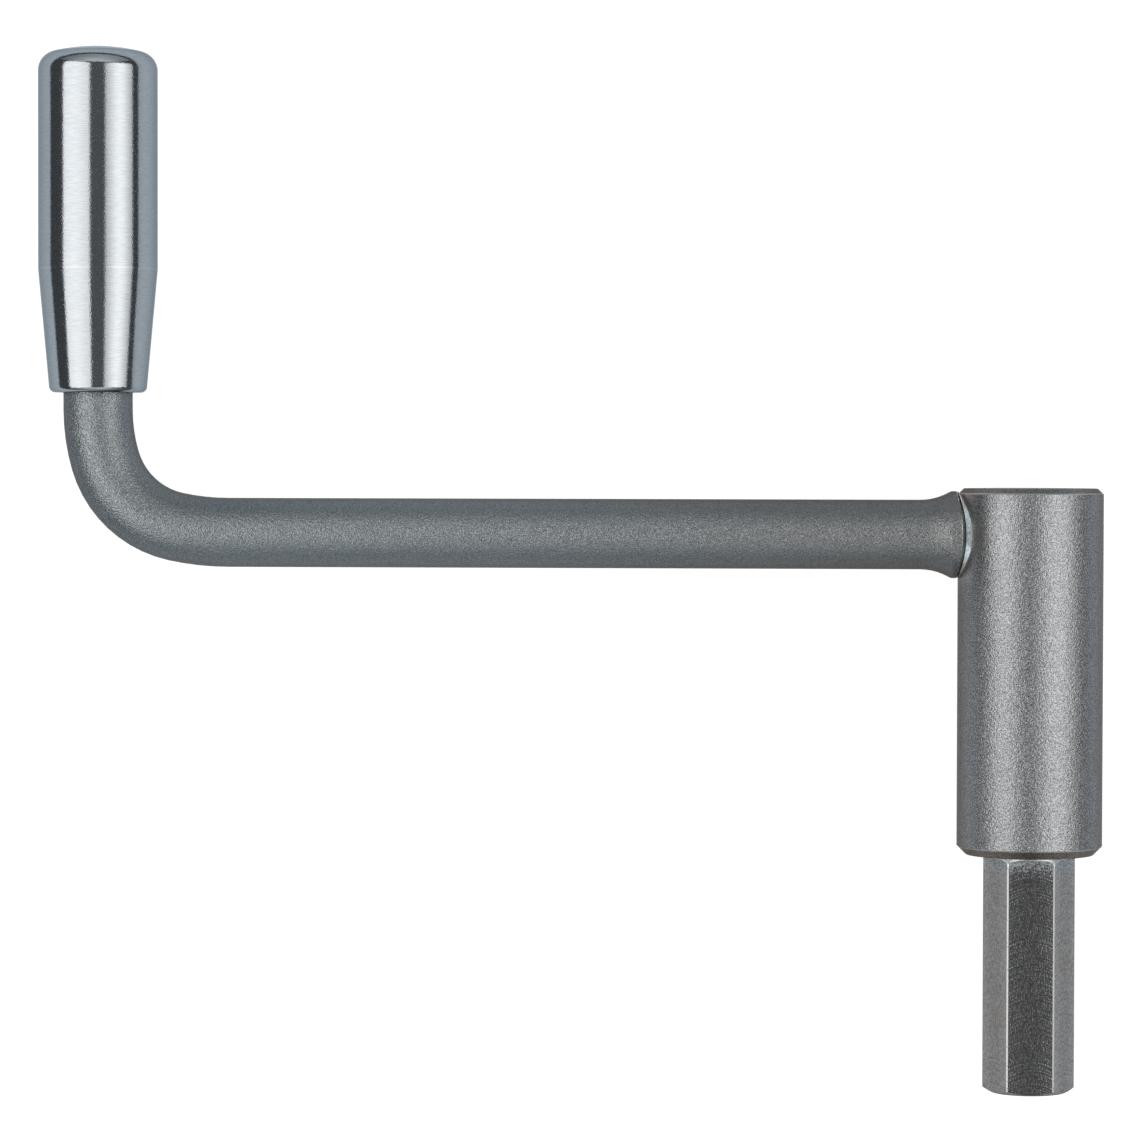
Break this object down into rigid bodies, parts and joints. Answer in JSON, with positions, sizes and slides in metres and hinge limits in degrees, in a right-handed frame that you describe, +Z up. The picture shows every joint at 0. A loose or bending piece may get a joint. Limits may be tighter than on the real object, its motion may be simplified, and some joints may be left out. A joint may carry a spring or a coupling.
{
  "type": "crank handle",
  "caption": "Steel crank handle: a bent round arm welded to a solid hub with a male hexagon drive, and a polished sleeve grip that spins freely on the arm's end.",
  "frame": {"origin": "on the hub's axis, at the shoulder where the hexagon drive begins", "axes": "the part lies on its side: -Y along the hub's axis towards the hexagon's tip, -X along the arm towards the grip, +Z up from the surface it lies on"},
  "size_m": [0.1843, 0.1802, 0.025],
  "materials": {
    "machined_steel": "hub bead blasted to a fine grain with turned chamfers, hexagon milled with fine cutter marks",
    "blasted_steel": "bead blasted, fine sparkling grain",
    "weld_metal": "smooth bright weld metal",
    "polished_steel": "polished, with faint turning lines",
    "spring_steel": "oiled spring wire"
  },
  "bodies": {
    "crank": {"drive_hub": "machined_steel", "crank_arm": "blasted_steel", "weld_bead": "weld_metal"},
    "grip": {"grip_sleeve": "polished_steel", "snap_ring": "spring_steel"}
  },
  "joints": [
    {"name": "grip_spin", "type": "hinge", "parent": "crank", "child": "grip", "pos_m": [-0.16149, 0.0792, -0.00215], "axis": [0, 1, 0], "continuous": true}
  ]
}
